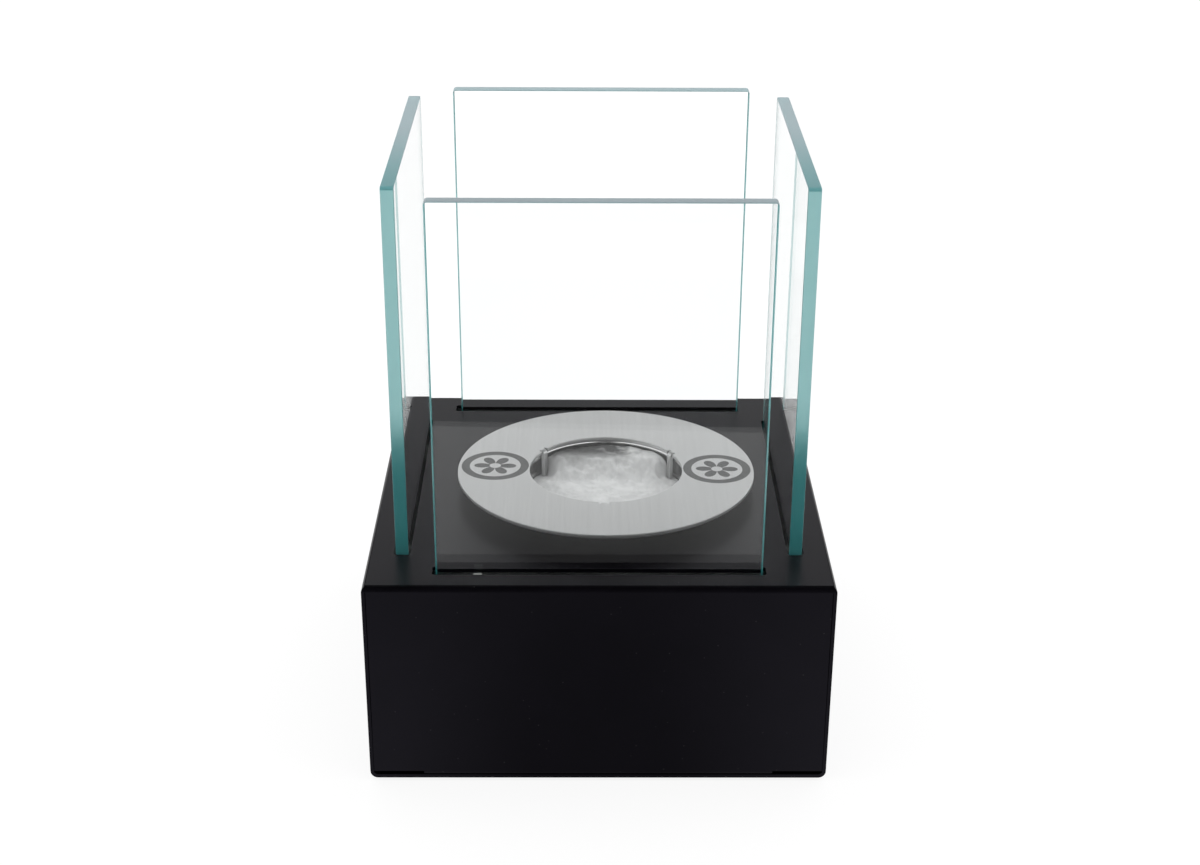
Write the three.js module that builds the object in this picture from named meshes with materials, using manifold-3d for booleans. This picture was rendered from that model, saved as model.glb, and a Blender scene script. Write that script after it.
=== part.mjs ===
// A tabletop fireplace for liquid fuel: a folded steel casing, four upright glass panes standing in
// slots, and a loose round burner that stands inside the casing and shows above its top.
// Millimetres, +Z up, the front towards -Y, the origin on the table in the middle of the footprint.

import * as THREE from "three";
import { mergeVertices } from "three/addons/utils/BufferGeometryUtils.js";
import Module from "manifold-3d";

// Casing: folded sheet on four low feet.
const CASING_SIDE = 180;
const CASING_HEIGHT = 86;
const SHEET = 1.5;
const TOP_BEND = 2.2;
const BOTTOM_BEND = 3;
const SIDE_FLANGE = 21;
const END_FLANGE = 20;
const RELIEF_HEIGHT = 1.6;
const SEAM_WIDTH = 0.3;
const SEAM_DEPTH = 0.5;
const BURNER_HOLE_RADIUS = 44;
const FOOT_HEIGHT = 1.5;
const FOOT_RADIUS = 6;
const FOOT_X = 79;
const FOOT_Y = 74;

// Base plate, laid on the return flanges and riveted to them.
const BASE_SIDE = 160;
const BASE_SHEET = 1.5;
const RIVET_X = 74.5;
const RIVET_Y = 52;
const RIVET_HOLE_RADIUS = 2.1;
const RIVET_SHANK_RADIUS = 2;
const RIVET_HEAD_RADIUS = 4;
const RIVET_HEAD_HEIGHT = 0.9;

// Glass panes, and what each stands in.
const PANE_WIDTH = 125;
const PANE_HEIGHT = 170;
const PANE_THICKNESS = 5;
const PANE_CORNER = 1.6;
const PANE_ARRIS = 0.4;
const PANE_RISE = 148.4;
const PANE_OFFSET = 76.7;
const SLOT_LENGTH = 128;
const SLOT_WIDTH = 6.4;
const SLOT_CORNER = 1.2;
const CHANNEL_LENGTH = 130;
const CHANNEL_SHEET = 1;
const CHANNEL_INSIDE = 6.6;
const CHANNEL_FLANGE = 4.7;
const PAD_LENGTH = 3.2;
const PAD_WALL = 0.4;
const PAD_SEAT = 1.3;
const PAD_ALONG = 46.5;
const PAD_DEPTH_IN_SLOT = 6;
const CREPT_PAD_RISE = 0.2;

// The rear pane stands loose in its slot: a little to the right, and leaning forward (degrees).
const REAR_PANE_SHIFT = 1.1;
const REAR_PANE_LEAN = 0.9;

// Burner: it is loose in its hole, and stands a little off centre and slightly turned.
const BURNER_SHIFT = 3.2;
const BURNER_TURN = -1.7;
const CAN_RADIUS = 35.5;
const CAN_WALL = 0.8;
const CAN_CORNER = 3;
const CURL_RADIUS = 1.25;
const RING_RADIUS = 61.6;
const RING_HOLE_RADIUS = 31.8;
const RING_THICKNESS = 1.5;
const RING_EDGE = 0.3;
const RING_RISE = 7;
const TAB_ANGLES = [32.5, 146, 270];
const TAB_WIDTH = 2.5;
const TAB_LENGTH = 11.8;
const TAB_INSIDE_RADIUS = 31.2;
const TAB_BEND = 1.8;
const RELIEF_NOTCH_WIDTH = 0.8;
const RELIEF_NOTCH_DEPTH = 1.6;

// The ring sits a little askew on the can, with its front edge up (degrees).
const RING_LEAN = 1.1;

// Ceramic wool: packed to just under the tabs, and heaped up behind, between the two rear tabs.
const WOOL_HEAP = 7.6;
const WOOL_CROWN = 2.6;
const HEAP_FULL_ANGLE = 45;
const HEAP_HALF_ANGLE = 52.5;

// Gap between pieces that rest on or beside each other.
const GAP = 0.2;

// Levels that follow.
const CASING_TOP = FOOT_HEIGHT + CASING_HEIGHT;
const HALF = CASING_SIDE / 2;
const INNER_HALF = HALF - SHEET;
const FLANGE_TOP = FOOT_HEIGHT + SHEET;
const BASE_TOP = FLANGE_TOP + GAP + BASE_SHEET;
const PANE_TOP = CASING_TOP + PANE_RISE;
const PANE_BOTTOM = PANE_TOP - PANE_HEIGHT;
const CHANNEL_TOP = CASING_TOP - SHEET - GAP;
const CHANNEL_FLOOR = PANE_BOTTOM - GAP - PAD_SEAT - GAP;
const RING_TOP = CASING_TOP + RING_RISE;
const RING_BOTTOM = RING_TOP - RING_THICKNESS;
const CAN_BOTTOM = BASE_TOP + GAP;
const RING_DROP = (CAN_RADIUS - CURL_RADIUS) * Math.tan(THREE.MathUtils.degToRad(RING_LEAN));
const CAN_TOP = RING_BOTTOM - RING_DROP - GAP;
const WOOL_EDGE = RING_TOP - TAB_LENGTH - RING_DROP / 2 - GAP;

const wasm = await Module();
wasm.setup();

// ---------------------------------------------------------------- solids and shapes

function toSolid(geometry) {
  const bare = geometry.clone();
  for (const name of Object.keys(bare.attributes)) {
    if (name !== "position") bare.deleteAttribute(name);
  }
  const merged = mergeVertices(bare, 1e-4);
  const mesh = new wasm.Mesh({
    numProp: 3,
    vertProperties: new Float32Array(merged.attributes.position.array),
    triVerts: new Uint32Array(merged.index.array),
  });
  return new wasm.Manifold(mesh);
}

function toGeometry(solid) {
  const mesh = solid.getMesh();
  const geometry = new THREE.BufferGeometry();
  geometry.setAttribute("position", new THREE.BufferAttribute(mesh.vertProperties, 3));
  geometry.setIndex(new THREE.BufferAttribute(mesh.triVerts, 1));
  const faceted = geometry.toNonIndexed();
  faceted.computeVertexNormals();
  return faceted;
}

function block(x, y, z) {
  const geometry = new THREE.BoxGeometry(x[1] - x[0], y[1] - y[0], z[1] - z[0]);
  return geometry.translate((x[0] + x[1]) / 2, (y[0] + y[1]) / 2, (z[0] + z[1]) / 2);
}

function upright(radius, bottom, top, sides) {
  const geometry = new THREE.CylinderGeometry(radius, radius, top - bottom, sides);
  return geometry.rotateX(Math.PI / 2).translate(0, 0, (bottom + top) / 2);
}

// A rectangle in the plane of a shape, with one radius at its two low corners and one at its top two.
function outline(halfWidth, low, high, lowRadius, highRadius, Kind = THREE.Shape) {
  const shape = new Kind();
  shape.moveTo(-halfWidth, high - highRadius);
  if (lowRadius > 0) {
    shape.lineTo(-halfWidth, low + lowRadius);
    shape.absarc(-halfWidth + lowRadius, low + lowRadius, lowRadius, Math.PI, 1.5 * Math.PI);
    shape.absarc(halfWidth - lowRadius, low + lowRadius, lowRadius, -0.5 * Math.PI, 0);
  } else {
    shape.lineTo(-halfWidth, low);
    shape.lineTo(halfWidth, low);
  }
  shape.absarc(halfWidth - highRadius, high - highRadius, highRadius, 0, 0.5 * Math.PI);
  shape.absarc(-halfWidth + highRadius, high - highRadius, highRadius, 0.5 * Math.PI, Math.PI);
  return shape;
}

// Extrudes a shape of (y, z) points along X, centred on x = 0.
function extrudeAlongX(shape, length, curveSegments = 5) {
  const geometry = new THREE.ExtrudeGeometry(shape, {
    depth: length,
    bevelEnabled: false,
    curveSegments,
  });
  const cycle = new THREE.Matrix4().makeBasis(
    new THREE.Vector3(0, 1, 0),
    new THREE.Vector3(0, 0, 1),
    new THREE.Vector3(1, 0, 0),
  );
  return geometry.applyMatrix4(cycle).translate(-length / 2, 0, 0);
}

// Turns a profile of (radius, z) points about the Z axis.
function turned(points, segments) {
  const profile = points.map(([radius, z]) => new THREE.Vector2(radius, z));
  return new THREE.LatheGeometry(profile, segments).rotateX(Math.PI / 2);
}

function arcPoints(centre, radius, fromDegrees, toDegrees, steps) {
  return Array.from({ length: steps + 1 }, (_, i) => {
    const angle = THREE.MathUtils.degToRad(fromDegrees + ((toDegrees - fromDegrees) * i) / steps);
    return [centre[0] + radius * Math.cos(angle), centre[1] + radius * Math.sin(angle)];
  });
}

// ---------------------------------------------------------------- materials

function finish(color, roughness, metalness, extra = {}) {
  return () => new THREE.MeshStandardMaterial({ color, roughness, metalness, ...extra });
}

const blackCoat = finish(0x242326, 0.55, 0.2);
const brushedSteel = finish(0xb9b9b8, 0.38, 0.9);
const spunSteel = finish(0xc4c4c4, 0.2, 0.95);
const plainSteel = finish(0x9c9ea0, 0.5, 0.8);
const clearGlass = finish(0xcfe0dd, 0.05, 0, { transparent: true, opacity: 0.35 });
const silicone = finish(0xdfe2dd, 0.6, 0);
const rubber = finish(0x1b1b1c, 0.85, 0);
const fibre = finish(0xf0f0ee, 0.95, 0);

function piece(name, geometry, material) {
  const mesh = new THREE.Mesh(geometry, material());
  mesh.name = name;
  return mesh;
}

// ---------------------------------------------------------------- casing

// One band of sheet folded round the top, two opposite walls and their return flanges.
function foldedBand(length) {
  const low = FOOT_HEIGHT;
  const shape = outline(HALF, low, CASING_TOP, BOTTOM_BEND, TOP_BEND);
  const inside = outline(
    INNER_HALF,
    low + SHEET,
    CASING_TOP - SHEET,
    BOTTOM_BEND - SHEET,
    TOP_BEND - SHEET,
    THREE.Path,
  );
  shape.holes.push(inside);
  return toSolid(extrudeAlongX(shape, length));
}

// The side walls and their flanges run the full depth, with square ends at the bottom.
function sideBand() {
  const envelope = outline(HALF, FOOT_HEIGHT, CASING_TOP, 0, TOP_BEND);
  const rounded = toSolid(extrudeAlongX(envelope, CASING_SIDE));
  const band = foldedBand(CASING_SIDE).rotate([0, 0, 90]);
  return band.intersect(rounded);
}

// The front and rear walls fit between the side walls, and stop short of the side flanges.
function endBand() {
  const flangeEdge = HALF - SIDE_FLANGE - GAP;
  let band = foldedBand(2 * INNER_HALF + GAP);
  for (const side of [-1, 1]) {
    const across = [side * flangeEdge, side * CASING_SIDE].sort((a, b) => a - b);
    const clearance = block(across, [-HALF - 1, HALF + 1], [0, FLANGE_TOP + RELIEF_HEIGHT]);
    band = band.subtract(toSolid(clearance));
  }
  return band;
}

function slotCutter() {
  const shape = outline(SLOT_LENGTH / 2, -SLOT_WIDTH / 2, SLOT_WIDTH / 2, SLOT_CORNER, SLOT_CORNER);
  const depth = 4 * SHEET;
  const geometry = new THREE.ExtrudeGeometry(shape, { depth, bevelEnabled: false, curveSegments: 4 });
  return toSolid(geometry.translate(0, -PANE_OFFSET, CASING_TOP - depth / 2));
}

function casingShell() {
  const opening = block(
    [-HALF + SIDE_FLANGE, HALF - SIDE_FLANGE],
    [-HALF + END_FLANGE, HALF - END_FLANGE],
    [0, FLANGE_TOP + 1],
  );
  const hole = upright(BURNER_HOLE_RADIUS, CASING_TOP - 2 * SHEET, CASING_TOP + SHEET, 72);
  let shell = sideBand().add(endBand()).subtract(toSolid(opening)).subtract(toSolid(hole));
  for (const turn of [0, 90, 180, 270]) {
    shell = shell.subtract(slotCutter().rotate([0, 0, turn]));
  }
  for (const x of [-1, 1]) {
    for (const y of [-1, 1]) {
      const seam = block(
        [-SEAM_WIDTH / 2, SEAM_WIDTH / 2],
        [-SEAM_DEPTH, SEAM_DEPTH],
        [FLANGE_TOP + RELIEF_HEIGHT / 2, CASING_TOP - TOP_BEND],
      );
      shell = shell.subtract(toSolid(seam.translate(x * INNER_HALF, y * HALF, 0)));
      const rivetHole = upright(RIVET_HOLE_RADIUS, 0, FLANGE_TOP + 1, 20);
      shell = shell.subtract(toSolid(rivetHole.translate(x * RIVET_X, y * RIVET_Y, 0)));
    }
  }
  return piece("casing_shell", toGeometry(shell), blackCoat);
}

function basePlate() {
  const half = BASE_SIDE / 2;
  let plate = toSolid(block([-half, half], [-half, half], [BASE_TOP - BASE_SHEET, BASE_TOP]));
  for (const x of [-1, 1]) {
    for (const y of [-1, 1]) {
      const rivetHole = upright(RIVET_HOLE_RADIUS, FLANGE_TOP, BASE_TOP + 1, 20);
      plate = plate.subtract(toSolid(rivetHole.translate(x * RIVET_X, y * RIVET_Y, 0)));
    }
  }
  return piece("base_plate", toGeometry(plate), plainSteel);
}

// A blind rivet: a flat head under the flange, a shank, and an upset head on the base plate.
function baseRivet(name, x, y) {
  const headTop = FOOT_HEIGHT - GAP / 2;
  const upsetBottom = BASE_TOP + GAP / 2;
  const profile = [
    [0, headTop - RIVET_HEAD_HEIGHT],
    [0.8 * RIVET_HEAD_RADIUS, headTop - RIVET_HEAD_HEIGHT],
    [RIVET_HEAD_RADIUS, headTop - 0.3 * RIVET_HEAD_HEIGHT],
    [RIVET_HEAD_RADIUS, headTop],
    [RIVET_SHANK_RADIUS, headTop],
    [RIVET_SHANK_RADIUS, upsetBottom],
    [0.75 * RIVET_HEAD_RADIUS, upsetBottom],
    [0.75 * RIVET_HEAD_RADIUS, upsetBottom + RIVET_HEAD_HEIGHT],
    [0.5 * RIVET_HEAD_RADIUS, upsetBottom + 2 * RIVET_HEAD_HEIGHT],
    [0, upsetBottom + 2 * RIVET_HEAD_HEIGHT],
  ];
  const mesh = piece(name, turned(profile, 20), plainSteel);
  mesh.position.set(x, y, 0);
  return mesh;
}

function foot(name, x, y) {
  const profile = [
    [0, 0],
    [FOOT_RADIUS - 0.4, 0],
    [FOOT_RADIUS, 0.4],
    [FOOT_RADIUS, FOOT_HEIGHT - GAP / 2],
    [0, FOOT_HEIGHT - GAP / 2],
  ];
  const mesh = piece(name, turned(profile, 32), rubber);
  mesh.position.set(x, y, 0);
  return mesh;
}

// ---------------------------------------------------------------- glass and what holds it

// Each side's own group: its pane lies in the XZ plane at y = -PANE_OFFSET before the group turns.
function channel(name) {
  const inside = CHANNEL_INSIDE / 2;
  const outside = inside + CHANNEL_SHEET;
  const lip = outside + CHANNEL_FLANGE;
  const shape = new THREE.Shape([
    new THREE.Vector2(-lip, CHANNEL_TOP),
    new THREE.Vector2(-lip, CHANNEL_TOP - CHANNEL_SHEET),
    new THREE.Vector2(-outside, CHANNEL_TOP - CHANNEL_SHEET),
    new THREE.Vector2(-outside, CHANNEL_FLOOR - CHANNEL_SHEET),
    new THREE.Vector2(outside, CHANNEL_FLOOR - CHANNEL_SHEET),
    new THREE.Vector2(outside, CHANNEL_TOP - CHANNEL_SHEET),
    new THREE.Vector2(lip, CHANNEL_TOP - CHANNEL_SHEET),
    new THREE.Vector2(lip, CHANNEL_TOP),
    new THREE.Vector2(inside, CHANNEL_TOP),
    new THREE.Vector2(inside, CHANNEL_FLOOR),
    new THREE.Vector2(-inside, CHANNEL_FLOOR),
    new THREE.Vector2(-inside, CHANNEL_TOP),
  ]);
  const mesh = piece(name, extrudeAlongX(shape, CHANNEL_LENGTH), plainSteel);
  mesh.position.y = -PANE_OFFSET;
  return mesh;
}

// A U of soft strip under the pane's edge, with both ears deep in the slot, or the outer one crept up.
function pad(name, along, outerRise) {
  const inside = PANE_THICKNESS / 2 + GAP / 2;
  const outside = inside + PAD_WALL;
  const low = CHANNEL_FLOOR + GAP;
  const high = CASING_TOP - PAD_DEPTH_IN_SLOT;
  const outerHigh = CASING_TOP + outerRise;
  const shape = new THREE.Shape([
    new THREE.Vector2(-outside, outerHigh),
    new THREE.Vector2(-outside, low),
    new THREE.Vector2(outside, low),
    new THREE.Vector2(outside, high),
    new THREE.Vector2(inside, high),
    new THREE.Vector2(inside, low + PAD_SEAT),
    new THREE.Vector2(-inside, low + PAD_SEAT),
    new THREE.Vector2(-inside, outerHigh),
  ]);
  const mesh = piece(name, extrudeAlongX(shape, PAD_LENGTH), silicone);
  mesh.position.set(along, -PANE_OFFSET, 0);
  return mesh;
}

function pane(name) {
  const half = PANE_WIDTH / 2 - PANE_ARRIS;
  const low = PANE_BOTTOM + PANE_ARRIS;
  const high = PANE_TOP - PANE_ARRIS;
  const geometry = new THREE.ExtrudeGeometry(outline(half, low, high, PANE_CORNER, PANE_CORNER), {
    depth: PANE_THICKNESS - 2 * PANE_ARRIS,
    bevelThickness: PANE_ARRIS,
    bevelSize: PANE_ARRIS,
    bevelSegments: 1,
    curveSegments: 4,
  });
  geometry.rotateX(Math.PI / 2).translate(0, PANE_THICKNESS / 2 - PANE_ARRIS, 0);
  const mesh = piece(name, geometry, clearGlass);
  mesh.position.y = -PANE_OFFSET;
  return mesh;
}

// A shift is along the slot, to the left seen from outside; a lean is inwards, about the pane's foot.
function glassSide(side, degrees, shift = 0, lean = 0) {
  const group = new THREE.Group();
  group.rotation.z = THREE.MathUtils.degToRad(degrees);
  group.add(channel(`${side}_channel`));
  const leftRise = side === "front" ? CREPT_PAD_RISE : -PAD_DEPTH_IN_SLOT;
  const upright = new THREE.Group();
  upright.position.set(0, PANE_OFFSET, -PANE_BOTTOM);
  upright.add(pane(`${side}_pane`));
  upright.add(pad(`${side}_pad_left`, -PAD_ALONG, leftRise));
  upright.add(pad(`${side}_pad_right`, PAD_ALONG, -PAD_DEPTH_IN_SLOT));
  const held = new THREE.Group();
  held.position.set(-shift, -PANE_OFFSET, PANE_BOTTOM);
  held.rotation.x = -THREE.MathUtils.degToRad(lean);
  held.add(upright);
  group.add(held);
  return group;
}

// ---------------------------------------------------------------- burner

// A drawn can whose mouth is curled inwards into a round bead, which the ring rests on.
function burnerCan() {
  const curl = [CAN_RADIUS - CURL_RADIUS, CAN_TOP - CURL_RADIUS];
  const inside = CAN_RADIUS - CAN_WALL;
  const meetsWall = -THREE.MathUtils.radToDeg(Math.acos((inside - curl[0]) / CURL_RADIUS));
  const corner = [CAN_RADIUS - CAN_CORNER, CAN_BOTTOM + CAN_CORNER];
  const profile = [
    [0, CAN_BOTTOM],
    ...arcPoints(corner, CAN_CORNER, -90, 0, 4),
    ...arcPoints(curl, CURL_RADIUS, 0, 360 + meetsWall, 12),
    ...arcPoints(corner, CAN_CORNER - CAN_WALL, 0, -90, 4),
    [0, CAN_BOTTOM + CAN_WALL],
  ];
  return piece("burner_can", turned(profile, 64), spunSteel);
}

// A tab of the ring: level in the plate, then bent down inside the hole.
function ringTab(degrees) {
  const rooted = RING_HOLE_RADIUS + RELIEF_NOTCH_DEPTH;
  const innerBend = TAB_BEND - RING_THICKNESS;
  const face = TAB_INSIDE_RADIUS;
  const shape = new THREE.Shape();
  shape.moveTo(rooted, RING_TOP);
  shape.lineTo(face + TAB_BEND, RING_TOP);
  shape.absarc(face + TAB_BEND, RING_TOP - TAB_BEND, TAB_BEND, 0.5 * Math.PI, Math.PI);
  shape.lineTo(face, RING_TOP - TAB_LENGTH);
  shape.lineTo(face + RING_THICKNESS, RING_TOP - TAB_LENGTH);
  shape.absarc(face + TAB_BEND, RING_TOP - TAB_BEND, innerBend, Math.PI, 0.5 * Math.PI, true);
  shape.lineTo(rooted, RING_BOTTOM);
  return toSolid(extrudeAlongX(shape, TAB_WIDTH)).rotate([0, 0, degrees - 90]);
}

function ringPlate() {
  const low = RING_BOTTOM;
  const high = RING_TOP;
  const profile = [
    [RING_HOLE_RADIUS, low + RING_EDGE],
    [RING_HOLE_RADIUS + RING_EDGE, low],
    [RING_RADIUS - RING_EDGE, low],
    [RING_RADIUS, low + RING_EDGE],
    [RING_RADIUS, high - RING_EDGE],
    [RING_RADIUS - RING_EDGE, high],
    [RING_HOLE_RADIUS + RING_EDGE, high],
    [RING_HOLE_RADIUS, high - RING_EDGE],
    [RING_HOLE_RADIUS, low + RING_EDGE],
  ];
  let ring = toSolid(turned(profile, 96));
  const notch = TAB_WIDTH / 2 + RELIEF_NOTCH_WIDTH;
  for (const degrees of TAB_ANGLES) {
    const radial = [RING_HOLE_RADIUS - 1, RING_HOLE_RADIUS + RELIEF_NOTCH_DEPTH];
    const relief = toSolid(block([-notch, notch], radial, [low - 1, high + 1]));
    ring = ring.subtract(relief.rotate([0, 0, degrees - 90]));
  }
  for (const degrees of TAB_ANGLES) {
    ring = ring.add(ringTab(degrees));
  }
  const mesh = piece("ring_plate", toGeometry(ring), brushedSteel);
  mesh.position.z = -RING_BOTTOM;
  const seated = new THREE.Group();
  seated.position.z = RING_BOTTOM;
  seated.rotation.x = -THREE.MathUtils.degToRad(RING_LEAN);
  seated.add(mesh);
  return seated;
}

// How far the wool stands above its edge: a low crown, and a heap against the rear of the can.
function woolRise(x, y, reach) {
  const share = Math.min(1, Math.hypot(x, y) / reach);
  const crown = WOOL_CROWN * Math.cos(0.5 * Math.PI * share);
  const fromRear = THREE.MathUtils.radToDeg(Math.abs(Math.atan2(x, y)));
  const sector = 1 - THREE.MathUtils.smoothstep(fromRear, HEAP_FULL_ANGLE, HEAP_HALF_ANGLE);
  const outward = THREE.MathUtils.smoothstep(share, 0.1, 0.7);
  return crown + WOOL_HEAP * sector * outward;
}

function ceramicWool() {
  const reach = CAN_RADIUS - CAN_WALL - 2 * GAP;
  const heapReach = CAN_RADIUS - 2 * CURL_RADIUS - 2 * GAP;
  const floor = CAN_BOTTOM + CAN_WALL + GAP;
  const profile = [
    [0, floor],
    [reach - CAN_CORNER, floor],
    [reach, floor + CAN_CORNER],
    [reach, WOOL_EDGE - 1],
    [reach - 0.6, WOOL_EDGE],
  ];
  for (let ring = 0; ring <= 6; ring += 1) {
    profile.push([heapReach * (1 - ring / 6), WOOL_EDGE]);
  }
  const geometry = turned(profile, 48);
  const place = geometry.attributes.position;
  for (let i = 0; i < place.count; i += 1) {
    if (Math.abs(place.getZ(i) - WOOL_EDGE) < 1e-3) {
      const x = place.getX(i);
      const y = place.getY(i);
      const inHeap = Math.hypot(x, y) < heapReach + 0.1;
      place.setZ(i, WOOL_EDGE + (inHeap ? woolRise(x, y, heapReach) : 0));
    }
  }
  return piece("ceramic_wool", geometry, fibre);
}

// ---------------------------------------------------------------- the whole fireplace

const fireplace = new THREE.Group();
fireplace.add(casingShell());
fireplace.add(basePlate());
for (const [depth, y] of [["front", -1], ["rear", 1]]) {
  for (const [side, x] of [["left", -1], ["right", 1]]) {
    fireplace.add(baseRivet(`base_rivet_${depth}_${side}`, x * RIVET_X, y * RIVET_Y));
    fireplace.add(foot(`foot_${depth}_${side}`, x * FOOT_X, y * FOOT_Y));
  }
}
fireplace.add(glassSide("front", 0));
fireplace.add(glassSide("right", 90));
fireplace.add(glassSide("rear", 180, REAR_PANE_SHIFT, REAR_PANE_LEAN));
fireplace.add(glassSide("left", 270));

const burner = new THREE.Group();
burner.position.x = BURNER_SHIFT;
burner.rotation.z = THREE.MathUtils.degToRad(BURNER_TURN);
burner.add(burnerCan());
burner.add(ringPlate());
burner.add(ceramicWool());
fireplace.add(burner);

export default fireplace;
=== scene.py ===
"""Looks of a tabletop fireplace: a coated steel casing, four glass panes, and a burner with fibre wool."""

from math import asin, atan2, cos, degrees, hypot, pi, radians, sin, tan

import bmesh
import bpy
from mathutils import Euler, Matrix, Vector, noise

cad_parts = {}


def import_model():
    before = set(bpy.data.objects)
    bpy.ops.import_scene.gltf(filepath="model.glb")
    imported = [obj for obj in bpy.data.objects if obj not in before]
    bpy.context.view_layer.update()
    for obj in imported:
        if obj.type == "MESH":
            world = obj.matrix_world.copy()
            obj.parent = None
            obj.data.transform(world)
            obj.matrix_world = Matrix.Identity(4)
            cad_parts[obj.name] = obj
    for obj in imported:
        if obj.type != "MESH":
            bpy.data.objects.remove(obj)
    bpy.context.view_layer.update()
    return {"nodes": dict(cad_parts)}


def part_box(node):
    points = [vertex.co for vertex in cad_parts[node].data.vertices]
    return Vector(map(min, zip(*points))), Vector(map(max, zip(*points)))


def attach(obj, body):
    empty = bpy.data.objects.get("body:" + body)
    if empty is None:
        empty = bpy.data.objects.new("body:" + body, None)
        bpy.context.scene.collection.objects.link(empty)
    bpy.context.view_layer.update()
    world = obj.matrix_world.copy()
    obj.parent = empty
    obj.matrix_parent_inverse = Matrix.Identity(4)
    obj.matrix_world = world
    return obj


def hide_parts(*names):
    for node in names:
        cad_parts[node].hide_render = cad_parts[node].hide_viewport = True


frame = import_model()

MM = 0.001
WELD = 0.002 * MM
SHARP = radians(50)
NODES = frame["nodes"]

# ---------------------------------------------------------------- driving sizes

_, CASING_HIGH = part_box("casing_shell")
CASING_TOP = CASING_HIGH.z
CASING_SHEET = 1.5 * MM
CUT_EDGE = 0.22 * MM
SEAM_AT = CASING_HIGH.x - CASING_SHEET
SEAM_REACH = 0.4 * MM
SEAM_DEPTH = 1 * MM

PANE_LOW, PANE_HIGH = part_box("front_pane")
PANE_CORNER = 1.3 * MM
PANE_ARRIS = 0.4 * MM
REAR_PANE_SHIFT = 1.1 * MM
REAR_PANE_LEAN = radians(0.9)

CAN_LOW, CAN_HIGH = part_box("burner_can")
BURNER_CENTRE = Vector(((CAN_LOW.x + CAN_HIGH.x) / 2, (CAN_LOW.y + CAN_HIGH.y) / 2, 0))
BURNER_TURN = radians(-1.7)
RING_LEAN = radians(1.1)
RING_RADIUS = 61.6 * MM
RING_HOLE = 31.8 * MM
RING_THICKNESS = 1.5 * MM
RING_TOP = CASING_TOP + 7 * MM
RING_BOTTOM = RING_TOP - RING_THICKNESS
RING_ARRIS = 0.25 * MM
TAB_ANGLES = (32.5, 146, 270)
TAB_WIDTH = 2.5 * MM
TAB_LENGTH = 11.8 * MM
TAB_INSIDE = 31.2 * MM
TAB_BEND = 1.8 * MM
TAB_BEND_AT = TAB_INSIDE + TAB_BEND
NOTCH_WIDTH = 0.8 * MM
NOTCH_ROOT = RING_HOLE + 1.6 * MM

CAN_RADIUS = (CAN_HIGH.x - CAN_LOW.x) / 2
CAN_WALL = 0.8 * MM
CAN_CORNER = 3 * MM
CURL = 1.25 * MM
CURL_NECK = 1.6 * CURL

WOOL_EDGE = RING_TOP - TAB_LENGTH - (CAN_RADIUS - CURL) * tan(RING_LEAN) / 2 - 0.2 * MM
WOOL_LIMIT = RING_TOP - 4.2 * MM
WOOL_REACH = 34.3 * MM
WOOL_CROWN = 2.6 * MM
WOOL_HEAP = 7.6 * MM
HEAP_RISE = (8 * MM, 22 * MM)
# The heap ends where the rear tabs are: so many degrees from the rear, and so far out.
HEAP_END = (51, 57)
HEAP_END_OUT = (24 * MM, 28 * MM)
# The wool stays low under the can's bead, and keeps this clear of the tabs.
UNDER_BEAD = (32.5 * MM, 33.4 * MM)
UNDER_BEAD_ROUGH = 0.4
TAB_ROOM = (1.3 * MM, 1.9 * MM)
LUMP_SIZE = 11 * MM
LUMP_HEIGHT = 1.1 * MM
TUFT_FINENESS = 3.7
TUFT_HEIGHT = 0.45 * MM
TUFT_PLACE = Vector((5, 2, 1))

MARK_OFFSET = 46.3 * MM
MARK_ALONG = 1.4 * MM
MARK_RADIUS = 14.1 * MM
MARK_BAND = 3.4 * MM
MARK_PETAL = MARK_RADIUS - 1.55 * MARK_BAND
MARK_HUB = 2.4 * MM
MARK_SOFT = 0.12 * MM

# ---------------------------------------------------------------- camera

CAMERA_PLACE = Vector((-5.94, -720.4, 445.1)) * MM
CAMERA_YAW = 0.0092
CAMERA_PITCH = -0.435
CAMERA_ROLL = 0.0059
CAMERA_LENS = 57.489


def add_camera():
    data = bpy.data.cameras.new("camera")
    data.lens = CAMERA_LENS
    data.sensor_width = 36
    data.clip_start = 0.01
    data.clip_end = 100
    camera = bpy.data.objects.new("camera", data)
    aim = Euler((pi / 2 + CAMERA_PITCH, 0, -CAMERA_YAW)).to_matrix().to_4x4()
    camera.matrix_world = Matrix.Translation(CAMERA_PLACE) @ aim @ Matrix.Rotation(CAMERA_ROLL, 4, "Z")
    bpy.context.collection.objects.link(camera)
    bpy.context.scene.camera = camera


# ---------------------------------------------------------------- shader writing


class Signal:
    """One shader output, which Python's operators turn into Math nodes."""

    def __init__(self, bench, socket):
        self.bench = bench
        self.socket = socket

    def _math(self, operation, *values):
        return self.bench.node("ShaderNodeMath", {"operation": operation}, dict(enumerate(values)))

    def __add__(self, other):
        return self._math("ADD", self, other)

    def __radd__(self, other):
        return self._math("ADD", other, self)

    def __sub__(self, other):
        return self._math("SUBTRACT", self, other)

    def __rsub__(self, other):
        return self._math("SUBTRACT", other, self)

    def __mul__(self, other):
        return self._math("MULTIPLY", self, other)

    def __rmul__(self, other):
        return self._math("MULTIPLY", other, self)

    def __abs__(self):
        return self._math("ABSOLUTE", self)

    def most(self, other):
        return self._math("MAXIMUM", self, other)

    def least(self, other):
        return self._math("MINIMUM", self, other)

    def root(self):
        return self._math("SQRT", self)

    def wave(self):
        return self._math("COSINE", self)

    def angle(self, other):
        return self._math("ARCTAN2", self, other)

    def rise(self, low, high):
        """0 below low, 1 above high, with a soft step between."""
        ends = {"Value": self, "From Min": low, "From Max": high}
        return self.bench.node("ShaderNodeMapRange", {"interpolation_type": "SMOOTHSTEP"}, ends)


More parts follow.
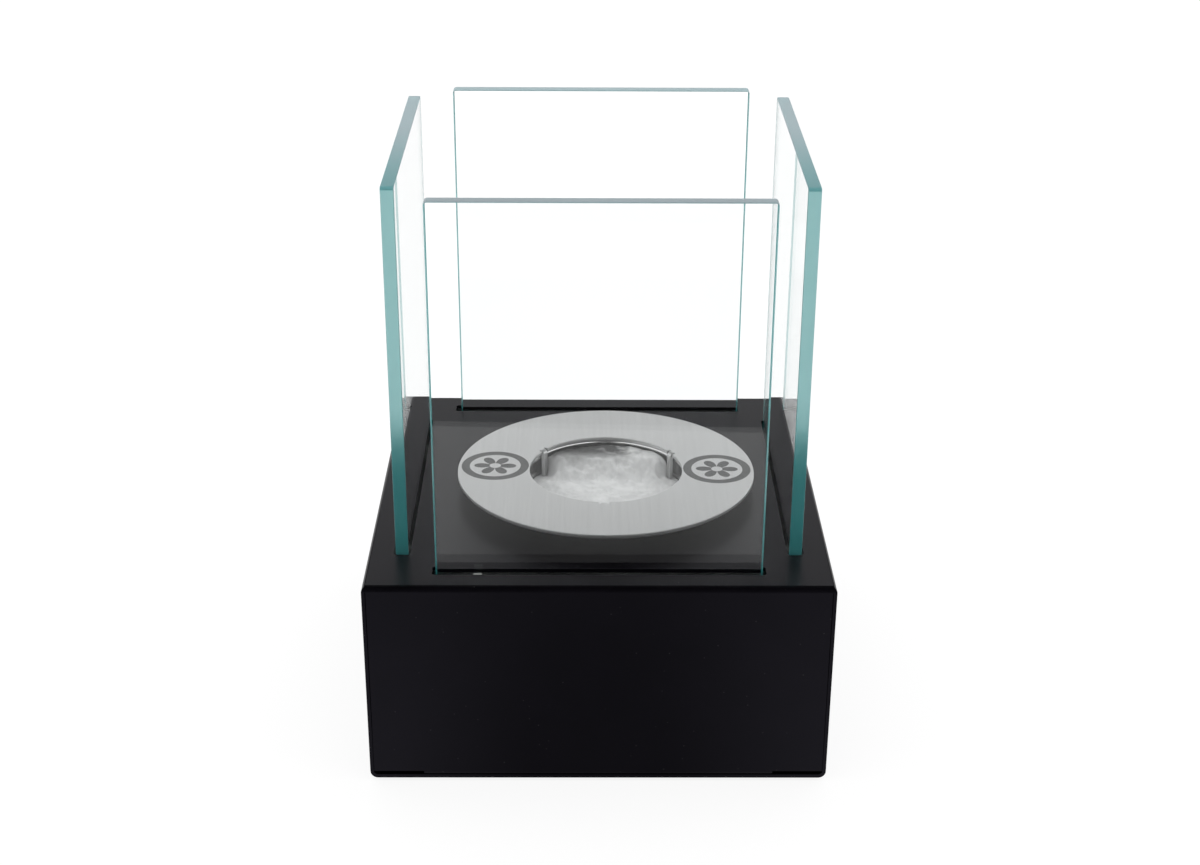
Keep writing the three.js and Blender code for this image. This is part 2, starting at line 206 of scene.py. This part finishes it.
class Bench:
    """One node tree, and the one way that nodes are added to it."""

    def __init__(self, tree):
        self.tree = tree
        tree.nodes.clear()

    def node(self, kind, settings=None, inputs=None, output=0):
        made = self.tree.nodes.new(kind)
        for name, value in (settings or {}).items():
            setattr(made, name, value)
        for key, value in (inputs or {}).items():
            if isinstance(value, Signal):
                self.tree.links.new(value.socket, made.inputs[key])
            else:
                made.inputs[key].default_value = value
        return Signal(self, made.outputs[output] if made.outputs else None)

    def place(self, scale=(1, 1, 1), turn=0.0, centre=(0, 0, 0)):
        """The point of the piece in metres, seen from centre, turned about Z and then scaled."""
        at = self.node("ShaderNodeTexCoord", output="Object")
        if tuple(centre) != (0, 0, 0):
            at = self.node("ShaderNodeVectorMath", {"operation": "SUBTRACT"}, {0: at, 1: centre})
        sizes = {"Vector": at, "Rotation": (0, 0, turn), "Scale": scale}
        return self.node("ShaderNodeMapping", {"vector_type": "POINT"}, sizes)

    def axes(self, vector):
        split = self.node("ShaderNodeSeparateXYZ", None, {"Vector": vector})
        return [Signal(self, out) for out in split.socket.node.outputs]

    def noise(self, at, scale, detail=2.0, rough=0.5):
        inputs = {"Vector": at, "Scale": scale, "Detail": detail, "Roughness": rough}
        return self.node("ShaderNodeTexNoise", None, inputs)

    def blend(self, share, a, b):
        """Colour a where share is 0 and colour b where it is 1."""
        return self.node("ShaderNodeMix", {"data_type": "RGBA"}, {0: share, 6: a, 7: b}, 2)

    def bump(self, height, depth):
        """depth is how far, in metres, the surface rises as height goes from 0 to 1."""
        return self.node("ShaderNodeBump", None, {"Height": height, "Distance": depth, "Strength": 1.0})

    def ray(self, name):
        return self.node("ShaderNodeLightPath", output=f"Is {name} Ray")

    def seen_plainly(self):
        """1 for what the camera sees directly or through glass, and 0 for what is seen by way of a mirror."""
        mirrors = self.node("ShaderNodeLightPath", output="Glossy Depth")
        return self.ray("Camera").most(self.ray("Transmission") * (1 - mirrors.least(1)))

    def choose(self, share, first, second):
        return self.node("ShaderNodeMixShader", None, {0: share, 1: first, 2: second})

    def principled(self, inputs):
        return self.node("ShaderNodeBsdfPrincipled", None, inputs)

    def white(self, kind, strength):
        """White light of so much strength, from an Emission or a Background node."""
        return self.node(f"ShaderNode{kind}", None, {"Color": grey(1), "Strength": strength})

    def surface(self, shader, volume=None):
        ends = {"Surface": shader, "Volume": volume} if volume else {"Surface": shader}
        self.node("ShaderNodeOutputMaterial", None, ends)


def grey(level):
    return (level, level, level, 1)


def material(name):
    made = bpy.data.materials.new(name)
    made.use_nodes = True
    return made, Bench(made.node_tree)


# ---------------------------------------------------------------- finishes

COAT_DEEP = (0.0014, 0.0012, 0.0018, 1)
COAT_CLOUD = (0.0022, 0.0018, 0.0028, 1)
COAT_GRAIN = (0.0066, 0.0055, 0.0080, 1)


def black_coat():
    """Fine-textured satin powder coat on steel, with a few pale specks."""
    made, bench = material("black_coat")
    at = bench.place()
    grain = bench.noise(at, 2400, 3, 0.6)
    cloud = bench.noise(at, 45, 2)
    cell = {"Vector": at, "Scale": 190}
    speck = 1 - bench.node("ShaderNodeTexVoronoi", None, cell, "Distance").rise(0.035, 0.06)
    base = bench.blend(cloud.rise(0.3, 0.7), COAT_DEEP, COAT_CLOUD)
    base = bench.blend(grain.rise(0.45, 0.75) * 0.6, base, COAT_GRAIN)
    base = bench.blend(speck * 0.12, base, grey(0.25))
    shader = {
        "Base Color": base,
        "Roughness": 0.32 + grain * 0.05,
        "Specular IOR Level": 0.138,
        "Specular Tint": (0.80, 0.76, 1.0, 1),
        "Normal": bench.bump(grain, 0.002 * MM),
    }
    bench.surface(bench.principled(shader))
    return made


GLASS_IOR = 1.41
GLASS_DENSITY = 5.5
GLASS_TINT = (0.25, 0.64, 0.63, 1)
EDGE_DULL = (0.95, 1.0, 1.0, 1)
EDGE_CLEAR = (0.9975, 1.0, 1.0, 1)
EDGE_TEAL = (0.10, 0.86, 0.88, 1)
# The top edges' pale skin is a painted light from above, teal towards the front ends of the side panes as
# painted light carried along the glass.
TOP_PAINTED_LIGHT = (0.62, 0.73, 0.80, 1)
TOP_FRONT_PAINTED_LIGHT = (0.20, 0.58, 0.62, 1)
# The foot's dark skin is a painted shade of the dark slot that the pane stands in.
FOOT_PAINTED_SHADE = (0.05, 0.20, 0.21, 1)
# Along a side pane its front colour, on the top edges a painted light carried along the glass, fades out
# here, and past its ends there is none.
FRONT_FADE = (-64 * MM, 25 * MM)
SIDE_PANE_END = (66 * MM, 70 * MM)


def let_lamps_through(bench, glass):
    """Light that falls on what stands behind the glass goes straight through it."""
    clear = bench.node("ShaderNodeBsdfTransparent")
    for name in ("Shadow", "Diffuse"):
        glass = bench.choose(bench.ray(name), glass, clear)
    tint = {"Color": GLASS_TINT, "Density": GLASS_DENSITY}
    bench.surface(glass, bench.node("ShaderNodeVolumeAbsorption", None, tint))


def clear_glass():
    made, bench = material("clear_glass")
    smear = bench.noise(bench.place(), 30, 3)
    shader = {
        "Base Color": bench.blend(smear, grey(0.995), grey(1.0)),
        "Roughness": 0.0,
        "Transmission Weight": 1.0,
        "IOR": GLASS_IOR,
    }
    let_lamps_through(bench, bench.principled(shader))
    return made


def ground_edge(name, frost_and_painted_share, skin_colour_and_painted_light, front_colour_and_painted_light):
    """The ground edge of a pane, which shows the green of the glass and a share of a matt ground skin over
    it.

    On the upright edges the skin has the glass's own colour. On the top edges its pale colour and larger
    share are a painted light from above, and on the foot its dark colour and near-full share are a painted
    shade of the slot. The skin's colour at the front ends of the side panes is given apart: on the top edges
    it is a painted teal of light carried along the glass.
    """
    made, bench = material(name)
    frost = bench.noise(bench.place(), 900, 2)
    shader = {
        "Base Color": bench.blend(frost, EDGE_DULL, EDGE_CLEAR),
        "Roughness": 0.34 + frost * 0.1,
        "Specular Tint": grey(0.5),
        "Transmission Weight": 1.0,
        "IOR": GLASS_IOR,
        "Normal": bench.bump(frost, 0.01 * MM),
    }
    through = bench.principled(shader)
    _, along, _ = bench.axes(bench.place())
    front = (1 - along.rise(*FRONT_FADE)) * (1 - abs(along).rise(*SIDE_PANE_END))
    # The skin's colour and share carry a painted light on the top edges and a painted shade on the foot.
    skin = bench.blend(frost * 0.05, bench.blend(front, skin_colour_and_painted_light, front_colour_and_painted_light), grey(0.8))
    skin = bench.principled({"Base Color": skin, "Roughness": 0.5})
    let_lamps_through(bench, bench.choose(frost_and_painted_share + frost * 0.04, through, skin))
    return made


def etched_mark(bench):
    """1 on the two etched roundels of the ring: a band round a six-petalled rosette."""
    across, along, _ = bench.axes(bench.place((1, 1, 1), -BURNER_TURN, BURNER_CENTRE))
    from_mark = abs(across) - MARK_OFFSET
    along = along - MARK_ALONG
    radius = (from_mark * from_mark + along * along).root()
    disc = 1 - radius.rise(MARK_RADIUS - MARK_SOFT, MARK_RADIUS)
    inside = 1 - radius.rise(MARK_RADIUS - MARK_BAND - MARK_SOFT, MARK_RADIUS - MARK_BAND)
    petal = abs((along.angle(from_mark) * 3).wave()).root() * MARK_PETAL
    rosette = (petal - radius).rise(0, MARK_SOFT) * radius.rise(MARK_HUB - MARK_SOFT, MARK_HUB)
    return (disc - inside + rosette).least(1)


def brushed_ring():
    """Sheet steel, brushed from front to back, with two etched marks."""
    made, bench = material("brushed_ring")
    at = bench.place((1, 0.012, 1), -BURNER_TURN, BURNER_CENTRE)
    lines = bench.noise(at, 5200, 4, 0.7)
    bands = bench.noise(at, 700, 2)
    cloud = bench.noise(bench.place(), 30, 2)
    mark = etched_mark(bench)
    steel = bench.blend(lines * 0.6 + bands * 0.4, grey(0.535), grey(0.745))
    shader = {
        "Base Color": bench.blend(mark * 0.9, steel, grey(0.19)),
        "Metallic": 1.0,
        "Roughness": 0.30 + cloud * 0.06 + lines * 0.06 + mark * 0.2,
        "Normal": bench.bump(lines, 0.004 * MM),
    }
    bench.surface(bench.principled(shader))
    return made


def spun_steel():
    """Bright drawn steel with fine lines round it."""
    made, bench = material("spun_steel")
    x, y, z = bench.axes(bench.place(centre=BURNER_CENTRE))
    radius = (x * x + y * y).root()
    round_it = bench.node("ShaderNodeCombineXYZ", None, {"X": radius, "Y": 0.0, "Z": z})
    lines = bench.noise(round_it, 2600, 3, 0.6)
    cloud = bench.noise(bench.place(), 60, 3)
    shader = {
        "Base Color": bench.blend(cloud, grey(0.72), grey(0.86)),
        "Metallic": 1.0,
        "Roughness": 0.10 + lines * 0.06 + cloud * 0.05,
        "Normal": bench.bump(lines, 0.004 * MM),
    }
    bench.surface(bench.principled(shader))
    return made


def ceramic_fibre():
    """Loose white mineral fibre."""
    made, bench = material("ceramic_fibre")
    tuft = bench.noise(bench.place(), 150, 5, 0.6)
    hair = bench.noise(bench.place((1, 0.25, 1), 0.6), 2400, 3, 0.7)
    across, along, _ = bench.axes(bench.place(centre=BURNER_CENTRE))
    cloud = bench.noise(bench.place(), 95, 3, 0.55)
    # Painted shade: the wool is greyed towards the rear wall under the ring's rim, more on the left and in
    # cloudy patches, where it lies in shade.
    painted_shade = along.rise(12 * MM, 27 * MM) * (cloud + across * -13).rise(0.22, 0.54)
    white = bench.blend(tuft.rise(0.3, 0.65), grey(0.74), grey(0.86))
    shader = {
        "Base Color": bench.blend(painted_shade * 0.94, white, grey(0.06)),
        "Roughness": 0.95,
        "Specular IOR Level": 0.1,
        "Normal": bench.bump(tuft * 0.8 + hair * 0.2, 0.25 * MM),
    }
    bench.surface(bench.principled(shader))
    return made


def sheet_steel(name, pale, dark, rough, scale):
    """Mill-finish sheet, with a faint grain and clouded patches."""
    made, bench = material(name)
    grain = bench.noise(bench.place((1, 0.08, 1)), scale, 3, 0.6)
    cloud = bench.noise(bench.place(), 35, 4, 0.6)
    shader = {
        "Base Color": bench.blend(cloud.rise(0.25, 0.75), grey(dark), grey(pale)),
        "Metallic": 1.0,
        "Roughness": rough + cloud * 0.12 + grain * 0.08,
        "Normal": bench.bump(grain, 0.008 * MM),
    }
    bench.surface(bench.principled(shader))
    return made


def moulded(name, pale, dark, rough, depth):
    """Soft moulded rubber or silicone with a fine skin."""
    made, bench = material(name)
    skin = bench.noise(bench.place(), 1800, 3, 0.6)
    shader = {
        "Base Color": bench.blend(skin, dark, pale),
        "Roughness": rough + skin * 0.12,
        "Normal": bench.bump(skin, depth),
    }
    bench.surface(bench.principled(shader))
    return made


# ---------------------------------------------------------------- shape helpers


def bevel(bm, edges, offset, segments):
    bmesh.ops.bevel(
        bm,
        geom=edges,
        offset=offset,
        offset_type="OFFSET",
        segments=segments,
        profile=0.5,
        affect="EDGES",
        material=-1,
        clamp_overlap=True,
    )


def sharp_edges(bm):
    return [e for e in bm.edges if len(e.link_faces) == 2 and e.calc_face_angle() > SHARP]


def heading(angle):
    """The level direction at so many degrees anticlockwise from +X."""
    return Vector((cos(radians(angle)), sin(radians(angle)), 0))


def spin(bm, geom, angle, steps, cent=(0, 0, 0), axis=(0, 0, 1), closed=False):
    made = bmesh.ops.spin(
        bm,
        geom=geom,
        cent=cent,
        axis=axis,
        dvec=(0, 0, 0),
        angle=angle,
        steps=steps,
        use_merge=closed,
        use_duplicate=False,
    )
    return made["geom_last"]


def extrude(bm, faces, height):
    """Draws the faces out straight up by height, or down where it is below 0."""
    made = bmesh.ops.extrude_face_region(bm, geom=faces)
    moved = [v for v in made["geom"] if isinstance(v, bmesh.types.BMVert)]
    bmesh.ops.translate(bm, verts=moved, vec=(0, 0, height))


def stand_on_burner(bm):
    """Turns what was made round the Z axis as the burner is turned, and moves it to the burner's place."""
    bmesh.ops.rotate(bm, verts=bm.verts, cent=(0, 0, 0), matrix=Matrix.Rotation(BURNER_TURN, 3, "Z"))
    bmesh.ops.translate(bm, verts=bm.verts, vec=BURNER_CENTRE)


def finish_piece(name, bm, body, finishes, replaced, smooth=38):
    """Makes the mesh an object of the model, with its finish and its body, and hides the node that it stands
    for.
    """
    mesh = bpy.data.meshes.new(name)
    bm.to_mesh(mesh)
    bm.free()
    for finish in finishes:
        mesh.materials.append(finish)
    mesh.shade_smooth()
    mesh.set_sharp_from_angle(angle=radians(smooth))
    piece = bpy.data.objects.new(name, mesh)
    bpy.context.collection.objects.link(piece)
    even = piece.modifiers.new("even_normals", "WEIGHTED_NORMAL")
    even.keep_sharp = True
    even.weight = 80
    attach(piece, body)
    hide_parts(*replaced)
    return piece


class Pen:
    """Draws a profile as a wire in the XZ plane: straight runs, and arcs made by spinning its last point."""

    def __init__(self, bm, x, z):
        self.bm = bm
        self.last = bm.verts.new((x, 0, z))

    def line(self, x, z):
        end = self.bm.verts.new((x, 0, z))
        self.bm.edges.new((self.last, end))
        self.last = end

    def arc(self, x, z, turn, steps):
        """Turns about (x, z) by so many degrees, anticlockwise as seen from the front."""
        last = spin(self.bm, [self.last], radians(-turn), steps, (x, 0, z), (0, 1, 0))
        self.last = next(v for v in last if isinstance(v, bmesh.types.BMVert))


def turn_profile(bm, steps, centre=(0, 0, 0)):
    """Spins the whole wire about the Z axis into a closed skin, and moves it to centre."""
    spin(bm, bm.verts[:] + bm.edges[:], 2 * pi, steps, closed=True)
    bmesh.ops.remove_doubles(bm, verts=bm.verts, dist=0.001 * MM)
    bmesh.ops.recalc_face_normals(bm, faces=bm.faces)
    bmesh.ops.translate(bm, verts=bm.verts, vec=centre)


# ---------------------------------------------------------------- casing


def casing(coat):
    """The folded casing, with every cut edge of the sheet eased and the corner seams kept crisp."""
    bm = bmesh.new()
    bm.from_mesh(NODES["casing_shell"].data)
    bmesh.ops.remove_doubles(bm, verts=bm.verts, dist=WELD)
    bmesh.ops.dissolve_limit(bm, angle_limit=radians(0.5), verts=bm.verts, edges=bm.edges)
    cut_edges = [e for e in sharp_edges(bm) if not all(on_seam(v.co) for v in e.verts)]
    bevel(bm, cut_edges, CUT_EDGE, 2)
    finish_piece("folded_casing", bm, "casing", [coat], ["casing_shell"])


def on_seam(at):
    """True by an upright seam, where the edge of a side wall meets the end of the front or rear wall."""
    return abs(abs(at.x) - SEAM_AT) < SEAM_REACH and abs(at.y) > CASING_HIGH.y - SEAM_DEPTH


# ---------------------------------------------------------------- panes

FACE, UPRIGHT_EDGE, TOP_EDGE, FOOT_EDGE = range(4)


def pane(side, turn, finishes, shift=0, lean=0):
    """A pane on the side of the casing that is so many degrees round from the front.

    It may stand shifted in its slot and lean. finishes has a material for each of the four kinds of face.
    """
    size = PANE_HIGH - PANE_LOW
    bm = bmesh.new()
    bmesh.ops.create_cube(bm, size=1, matrix=Matrix.LocRotScale(Vector((0, 0, size.z / 2)), None, size))
    through = [e for e in bm.edges if abs(e.verts[0].co.y - e.verts[1].co.y) > size.y / 2]
    bevel(bm, through, PANE_CORNER, 6)
    wide = [f for f in bm.faces if abs(f.normal.y) > 0.9]
    bevel(bm, list({e for f in wide for e in f.edges}), PANE_ARRIS, 2)
    for face in bm.faces:
        height = face.calc_center_median().z
        if abs(face.normal.y) > 0.99:
            face.material_index = FACE
        elif height > size.z - PANE_CORNER:
            face.material_index = TOP_EDGE
        elif height < PANE_CORNER:
            face.material_index = FOOT_EDGE
        else:
            face.material_index = UPRIGHT_EDGE
    foot_at = Matrix.Translation((-shift, (PANE_LOW.y + PANE_HIGH.y) / 2, PANE_LOW.z))
    stand = Matrix.Rotation(radians(turn), 4, "Z") @ foot_at @ Matrix.Rotation(-lean, 4, "X")
    bmesh.ops.transform(bm, matrix=stand, verts=bm.verts)
    finish_piece(f"{side}_glass_pane", bm, f"{side}_glass", finishes, [f"{side}_pane"])


# ---------------------------------------------------------------- burner


def ring(steel):
    """The loose cover ring: flat sheet with a hole, and three tabs bent down out of its edge."""
    bm = bmesh.new()
    tab_half = asin(TAB_WIDTH / 2 / RING_HOLE)
    notch = asin((TAB_WIDTH / 2 + NOTCH_WIDTH) / RING_HOLE) - tab_half
    start = radians(TAB_ANGLES[0]) - tab_half - notch
    radii = (RING_HOLE, TAB_BEND_AT, NOTCH_ROOT, RING_RADIUS)
    spoke = [bm.verts.new((r * cos(start), r * sin(start), RING_TOP)) for r in radii]
    last = spoke + [bm.edges.new(pair) for pair in zip(spoke, spoke[1:])]
    for tab_angle, next_angle in zip(TAB_ANGLES, TAB_ANGLES[1:] + TAB_ANGLES[:1]):
        rest = radians((next_angle - tab_angle) % 360) - 2 * tab_half - 2 * notch
        rest_steps = round(degrees(rest) / 2)
        # Each stretch has the angle that it takes, its steps, and the radius that it is cut back to.
        beside_tab = (notch, 1, NOTCH_ROOT)
        on_tab = (2 * tab_half, 1, TAB_BEND_AT)
        for sweep, steps, cut_to in (beside_tab, on_tab, beside_tab, (rest, rest_steps, 0)):
            before = set(bm.faces)
            last = spin(bm, last, sweep, steps)
            new = [f for f in bm.faces if f not in before]
            waste = [f for f in new if hypot(*f.calc_center_median().xy) < cut_to]
            bmesh.ops.delete(bm, geom=waste, context="FACES_ONLY")
    bmesh.ops.delete(bm, geom=[e for e in bm.edges if not e.link_faces], context="EDGES")
    bmesh.ops.remove_doubles(bm, verts=bm.verts, dist=0.01 * MM)
    bmesh.ops.recalc_face_normals(bm, faces=bm.faces)
    extrude(bm, bm.faces[:], -RING_THICKNESS)
    bmesh.ops.recalc_face_normals(bm, faces=bm.faces)
    for tab_angle in TAB_ANGLES:
        bend_tab(bm, heading(tab_angle))
    bevel(bm, sharp_edges(bm), RING_ARRIS, 3)
    bmesh.ops.rotate(bm, verts=bm.verts, cent=(0, 0, RING_BOTTOM), matrix=Matrix.Rotation(-RING_LEAN, 3, "X"))
    stand_on_burner(bm)
    finish_piece("cover_ring", bm, "burner_ring", [steel], ["ring_plate"])


def bend_tab(bm, out):
    """Bends the end of the tab at out down through a quarter turn, and draws it out to its length."""
    spot = out * TAB_BEND_AT + Vector((0, 0, RING_TOP - RING_THICKNESS / 2))
    end = min(bm.faces, key=lambda f: (f.calc_center_median() - spot).length)
    pivot = out * TAB_BEND_AT + Vector((0, 0, RING_TOP - TAB_BEND))
    last = spin(bm, [end, *end.edges, *end.verts], -pi / 2, 6, pivot, (-out.y, out.x, 0))
    end = next(f for f in last if isinstance(f, bmesh.types.BMFace))
    extrude(bm, [end], TAB_BEND - TAB_LENGTH)
    loose = [f for f in bm.faces if all(len(e.link_faces) > 2 for e in f.edges)]
    bmesh.ops.delete(bm, geom=loose, context="FACES_ONLY")


def can(steel):
    """The drawn can, its mouth curled inwards into a round bead."""
    bm = bmesh.new()
    low = CAN_LOW.z
    inside = CAN_RADIUS - CAN_WALL
    curl_x = CAN_RADIUS - CURL
    curl_z = CAN_HIGH.z - CURL
    corner_x = CAN_RADIUS - CAN_CORNER
    pen = Pen(bm, 0, low)
    pen.line(corner_x, low)
    pen.arc(corner_x, low + CAN_CORNER, 90, 6)
    pen.line(CAN_RADIUS, curl_z)
    pen.arc(curl_x, curl_z, 300, 24)
    pen.line(inside, curl_z - CURL_NECK)
    pen.line(inside, low + CAN_CORNER)
    pen.arc(corner_x, low + CAN_CORNER, -90, 6)
    pen.line(0, low + CAN_WALL)
    turn_profile(bm, 160, BURNER_CENTRE)
    finish_piece("drawn_can", bm, "burner", [steel], ["burner_can"])


def soft_step(value, low, high):
    share = min(1, max(0, (value - low) / (high - low)))
    return share * share * (3 - 2 * share)


def ceramic_wool(fibre):
    """Loose wool that fills the can: crowned, lumpy, and heaped up against the rear."""
    bm = bmesh.new()
    low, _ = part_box("ceramic_wool")
    steps = 70
    pen = Pen(bm, 0, WOOL_EDGE)
    for step in range(1, steps + 1):
        pen.line(WOOL_REACH * step / steps, WOOL_EDGE)
    pen.line(WOOL_REACH, low.z + CAN_CORNER)
    pen.line(WOOL_REACH - CAN_CORNER, low.z)
    pen.line(0, low.z)
    turn_profile(bm, 220)
    tabs = [heading(angle) * (TAB_INSIDE + RING_THICKNESS / 2) for angle in TAB_ANGLES]
    for vert in bm.verts:
        if vert.co.z > WOOL_EDGE - 0.1 * MM:
            raise_wool(vert, tabs)
    stand_on_burner(bm)
    wool = finish_piece("fibre_wool", bm, "burner", [fibre], ["ceramic_wool"], 80)


def raise_wool(vert, tabs):
    """Lifts a point of the flat top to the height that the wool has there."""
    x, y = vert.co.xy
    radius = hypot(x, y)
    crown = WOOL_CROWN * cos(0.5 * pi * min(1, radius / WOOL_REACH))
    at = Vector((x, y, 0)) / LUMP_SIZE
    lumps = noise.fractal(at, 1.0, 2.0, 2) * LUMP_HEIGHT
    tufts = noise.fractal(at * TUFT_FINENESS + TUFT_PLACE, 0.8, 2.1, 4) * TUFT_HEIGHT
    past_tabs = soft_step(degrees(abs(atan2(x, y))), *HEAP_END) * soft_step(radius, *HEAP_END_OUT)
    heap = WOOL_HEAP * soft_step(y + lumps + 2 * tufts, *HEAP_RISE) * (1 - past_tabs)
    open_top = 1 - soft_step(radius, *UNDER_BEAD)
    rough = UNDER_BEAD_ROUGH + (1 - UNDER_BEAD_ROUGH) * open_top
    free = min(soft_step((vert.co.xy - tab.xy).length, *TAB_ROOM) for tab in tabs)
    vert.co.z += (crown + heap * open_top + (lumps + tufts) * rough) * free
    vert.co.z = min(vert.co.z, WOOL_LIMIT + 0.8 * tufts)


# ---------------------------------------------------------------- feet

FOOT_EASE = 0.4 * MM


def foot(name, rubber):
    low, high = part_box(name)
    radius = (high.x - low.x) / 2
    bm = bmesh.new()
    pen = Pen(bm, 0, low.z)
    pen.line(radius - FOOT_EASE, low.z)
    pen.arc(radius - FOOT_EASE, low.z + FOOT_EASE, 90, 4)
    pen.line(radius, high.z)
    pen.line(0, high.z)
    turn_profile(bm, 64, ((low.x + high.x) / 2, (low.y + high.y) / 2, 0))
    finish_piece(f"rubber_{name}", bm, "casing", [rubber], [name])


# ---------------------------------------------------------------- surroundings

FLOOR_HALF = 6.0
# The card that mirrors see: where it ends in front, how askew and how softly, and how light it is.
CARD_END = -400 * MM
CARD_SKEW = 0.045
CARD_SOFT = 1 * MM
CARD_LIGHT = 1.0
CARD_DARK = 0.02
# A painted shadow of the object on that card, in front of it: its reach to each side, its two ends, and its
# depth.
PAINTED_SHADOW_ACROSS = (20 * MM, 100 * MM)
PAINTED_SHADOW_FRONT = (-340 * MM, -250 * MM)
PAINTED_SHADOW_REAR = (-90 * MM, -85 * MM)
PAINTED_SHADOW_SHARE = 0.6
BEHIND_GLASS = 1.15


def made_up(bench):
    """What the panes hold back by their own reflections is made up for in what is seen through them."""
    return bench.ray("Transmission") * (BEHIND_GLASS - 1) + 1


def floor():
    """A white table top. Mirrors and glass see it end in front of the object, as a sheet of card does, and
    mirrors see a painted shadow of the object on it in front.
    """
    bm = bmesh.new()
    bmesh.ops.create_grid(bm, x_segments=1, y_segments=1, size=FLOOR_HALF)
    mesh = bpy.data.meshes.new("floor")
    bm.to_mesh(mesh)
    bm.free()
    made, bench = material("white_card")
    x, y, _ = bench.axes(bench.place())
    diffuse = bench.node("ShaderNodeBsdfDiffuse", None, {"Color": grey(0.8)})
    faint = bench.node("ShaderNodeBsdfDiffuse", None, {"Color": grey(0.22)})
    glow = bench.white("Emission", made_up(bench) * 0.86)
    seen = bench.node("ShaderNodeAddShader", None, {0: faint, 1: glow})
    card = (y - x * CARD_SKEW).rise(CARD_END - CARD_SOFT, CARD_END + CARD_SOFT)
    card = card * (CARD_LIGHT - CARD_DARK) + CARD_DARK
    # Painted shadow of the object, cast forward onto the card where mirrors see it.
    painted_shadow = (1 - abs(x).rise(*PAINTED_SHADOW_ACROSS)) * y.rise(*PAINTED_SHADOW_FRONT) * (1 - y.rise(*PAINTED_SHADOW_REAR))
    mirrored = bench.white("Emission", card * (1 - painted_shadow * PAINTED_SHADOW_SHARE))
    shader = bench.choose(bench.ray("Glossy"), diffuse, mirrored)
    bench.surface(bench.choose(bench.seen_plainly(), shader, seen))
    mesh.materials.append(made)
    plane = bpy.data.objects.new("floor", mesh)
    bpy.context.collection.objects.link(plane)


# Where the world changes, as parts of a direction of length 1.
REAR_SKY = (-0.75, -0.25)
SIDE_SKY = (0.12, 0.42)
HIGH_SKY = (0.25, 0.80)
MIRROR_LIGHT = 1.15
MIRROR_DARK = 0.03
LAMP_LEVEL = 0.95
LAMP_FRONT = 0.35


def world():
    """White behind and beside. Mirrors see it dark overhead and in front, and it lights the front less."""
    made = bpy.data.worlds.new("studio")
    made.use_nodes = True
    bpy.context.scene.world = made
    bench = Bench(made.node_tree)
    at = bench.node("ShaderNodeTexCoord", output="Generated")
    x, y, z = bench.axes(at)
    behind = y.rise(*REAR_SKY)
    beside = abs(x).rise(*SIDE_SKY)
    low = 1 - z.rise(*HIGH_SKY)
    plain = bench.white("Background", (behind * (1 - LAMP_FRONT) + LAMP_FRONT) * LAMP_LEVEL)
    shiny = bench.white("Background", behind.most(beside) * low * MIRROR_LIGHT + MIRROR_DARK)
    shader = bench.choose(bench.ray("Glossy"), plain, shiny)
    shader = bench.choose(bench.seen_plainly(), shader, bench.white("Background", made_up(bench)))
    bench.node("ShaderNodeOutputWorld", None, {"Surface": shader})


def finish_node(name, finish, edge=0.15 * MM):
    """Gives a node of the frame its finish, and eases its edges."""
    node = NODES[name]
    node.data.materials.clear()
    node.data.materials.append(finish)
    weld = node.modifiers.new("weld", "WELD")
    weld.merge_threshold = WELD
    ease = node.modifiers.new("ease", "BEVEL")
    ease.width = edge
    ease.segments = 2
    ease.limit_method = "ANGLE"
    ease.angle_limit = radians(40)


# ---------------------------------------------------------------- the whole

add_camera()
bpy.context.scene.view_settings.view_transform = "Standard"
world()
floor()

coat = black_coat()
glass = [
    clear_glass(),
    ground_edge("ground_edge", 0.27, EDGE_TEAL, EDGE_TEAL),
    # The top edges take a painted light from above, and the foot a painted shade of its slot.
    ground_edge("ground_top_edge_painted_light", 0.52, TOP_PAINTED_LIGHT, TOP_FRONT_PAINTED_LIGHT),
    ground_edge("ground_foot_edge_painted_shade", 0.96, FOOT_PAINTED_SHADE, FOOT_PAINTED_SHADE),
]
plain_steel = sheet_steel("plain_steel", 0.42, 0.30, 0.34, 2200)
rivet_steel = sheet_steel("rivet_steel", 0.55, 0.42, 0.28, 3000)
rubber = moulded("foot_rubber", (0.020, 0.020, 0.021, 1), (0.010, 0.010, 0.010, 1), 0.72, 0.03 * MM)
silicone = moulded("silicone", (0.66, 0.68, 0.65, 1), (0.54, 0.56, 0.54, 1), 0.5, 0.01 * MM)

casing(coat)
pane("front", 0, glass)
pane("right", 90, glass)
pane("rear", 180, glass, REAR_PANE_SHIFT, REAR_PANE_LEAN)
pane("left", 270, glass)
for side in ("front", "right", "rear", "left"):
    finish_node(f"{side}_channel", plain_steel)
    finish_node(f"{side}_pad_left", silicone, 0.1 * MM)
    finish_node(f"{side}_pad_right", silicone, 0.1 * MM)
finish_node("base_plate", plain_steel)
for depth in ("front", "rear"):
    for side in ("left", "right"):
        finish_node(f"base_rivet_{depth}_{side}", rivet_steel, 0.1 * MM)
        foot(f"foot_{depth}_{side}", rubber)
ring(brushed_ring())
can(spun_steel())
ceramic_wool(ceramic_fibre())
